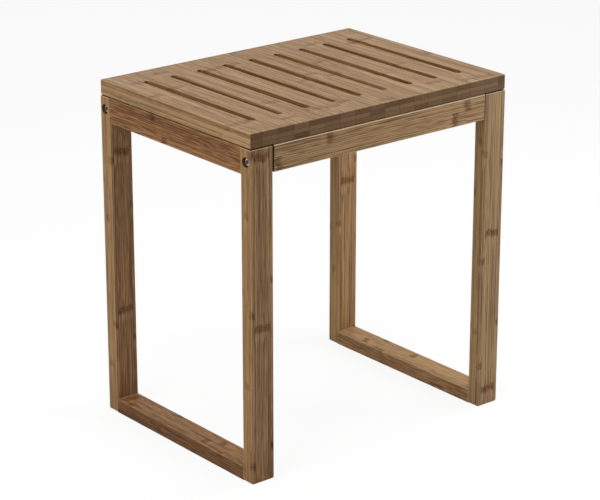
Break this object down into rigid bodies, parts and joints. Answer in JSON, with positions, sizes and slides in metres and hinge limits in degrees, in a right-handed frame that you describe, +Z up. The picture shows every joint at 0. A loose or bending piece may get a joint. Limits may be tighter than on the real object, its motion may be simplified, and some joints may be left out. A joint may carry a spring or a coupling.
{
  "type": "bath stool",
  "caption": "Rectangular bamboo bath stool: a slotted seat panel on two end frames with legs, top rails and flat floor rails, tied together by bolted aprons.",
  "frame": {"origin": "on the floor, under the middle of the seat", "axes": "+Z up; +X along the aprons, the stool's width; +Y from the front apron to the rear one"},
  "size_m": [0.43, 0.32, 0.47],
  "materials": {
    "bamboo_panel": "clear satin lacquer",
    "bamboo_frame": "clear satin lacquer",
    "dowel_wood": "bare",
    "plated_steel": "bright zinc"
  },
  "bodies": {
    "root": {"front_apron": "bamboo_frame", "left_bottom_rail": "bamboo_frame", "left_front_apron_dowels": "dowel_wood", "left_front_barrel_nut": "plated_steel", "left_front_bolt": "plated_steel", "left_front_bottom_rail_dowels": "dowel_wood", "left_front_leg": "bamboo_frame", "left_front_seat_screw": "plated_steel", "left_front_top_rail_dowels": "dowel_wood", "left_rear_apron_dowels": "dowel_wood", "left_rear_barrel_nut": "plated_steel", "left_rear_bolt": "plated_steel", "left_rear_bottom_rail_dowels": "dowel_wood", "left_rear_leg": "bamboo_frame", "left_rear_seat_screw": "plated_steel", "left_rear_top_rail_dowels": "dowel_wood", "left_top_rail": "bamboo_frame", "rear_apron": "bamboo_frame", "right_bottom_rail": "bamboo_frame", "right_front_apron_dowels": "dowel_wood", "right_front_barrel_nut": "plated_steel", "right_front_bolt": "plated_steel", "right_front_bottom_rail_dowels": "dowel_wood", "right_front_leg": "bamboo_frame", "right_front_seat_screw": "plated_steel", "right_front_top_rail_dowels": "dowel_wood", "right_rear_apron_dowels": "dowel_wood", "right_rear_barrel_nut": "plated_steel", "right_rear_bolt": "plated_steel", "right_rear_bottom_rail_dowels": "dowel_wood", "right_rear_leg": "bamboo_frame", "right_rear_seat_screw": "plated_steel", "right_rear_top_rail_dowels": "dowel_wood", "right_top_rail": "bamboo_frame", "seat_panel": "bamboo_panel"}
  },
  "joints": []
}
